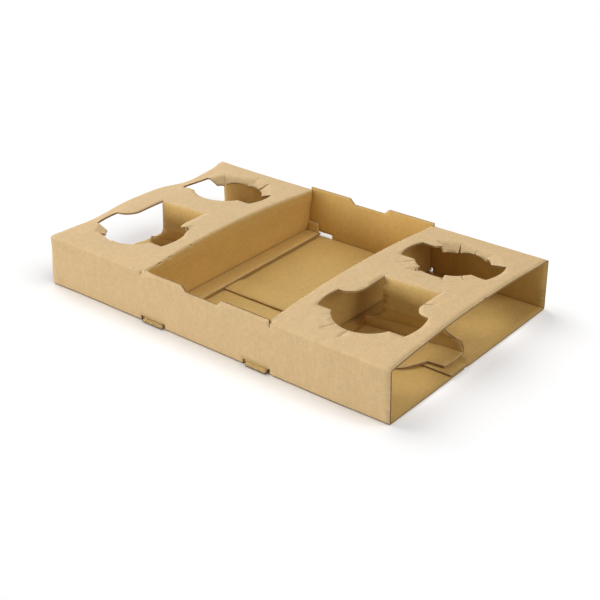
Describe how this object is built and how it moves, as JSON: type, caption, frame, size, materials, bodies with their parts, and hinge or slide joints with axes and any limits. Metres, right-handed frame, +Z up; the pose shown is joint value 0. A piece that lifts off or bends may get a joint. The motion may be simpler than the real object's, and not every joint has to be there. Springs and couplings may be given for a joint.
{
  "type": "cardboard cup carrier",
  "caption": "Folded corrugated card carrier: a flat sleeve open at both ends, with cup holes in its crowned top panels on either side of an open centre well.",
  "frame": {"origin": "middle of the base, on its underside", "axes": "+X along the long side, from the left box to the right one; +Y from the front wall to the rear wall; +Z up, out of the centre well"},
  "size_m": [0.364, 0.226, 0.051],
  "materials": {
    "kraft_board": "plain brown kraft liner, matt, with faint flute lines and paler worn creases"
  },
  "bodies": {
    "root": {"cup_carrier": "kraft_board"}
  },
  "joints": []
}
